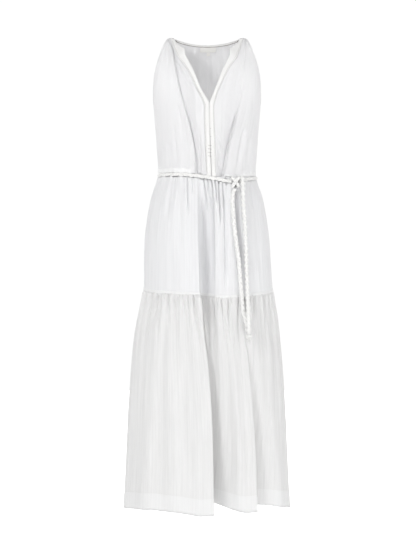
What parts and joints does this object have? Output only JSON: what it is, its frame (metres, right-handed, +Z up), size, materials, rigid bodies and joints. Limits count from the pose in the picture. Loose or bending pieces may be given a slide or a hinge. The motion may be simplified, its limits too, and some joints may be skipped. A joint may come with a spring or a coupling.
{
  "type": "cheesecloth dress",
  "caption": "Sleeveless white cheesecloth maxi dress: split V neck with flat bands, braided cord belt tied at the waist, gathered skirt and tier, deep hem, filled out and hollow.",
  "frame": {"origin": "between the tops of the two shoulders, where the wearer or a hanger carries the dress", "axes": "+Z up, +X to the right of someone looking at the front, the front faces -Y"},
  "size_m": [0.466, 0.3367, 1.3163],
  "materials": {
    "gauze": "crinkled matte",
    "band_cloth": "flat matte",
    "cord_cotton": "braided matte",
    "label_satin": "satin"
  },
  "bodies": {
    "root": {"bodice_front_left": "gauze", "bodice_front_right": "gauze", "bodice_back": "gauze", "neck_band_left": "band_cloth", "neck_band_right": "band_cloth", "neck_binding_back": "band_cloth", "skirt_front": "gauze", "skirt_back": "gauze", "tier_front": "gauze", "tier_back": "gauze", "belt_loop": "cord_cotton", "belt_knot": "cord_cotton", "belt_tail_right": "cord_cotton", "belt_tail_left": "cord_cotton", "tail_knot_right": "cord_cotton", "tail_knot_left": "cord_cotton", "neck_label": "label_satin", "size_tab": "label_satin"}
  },
  "joints": []
}
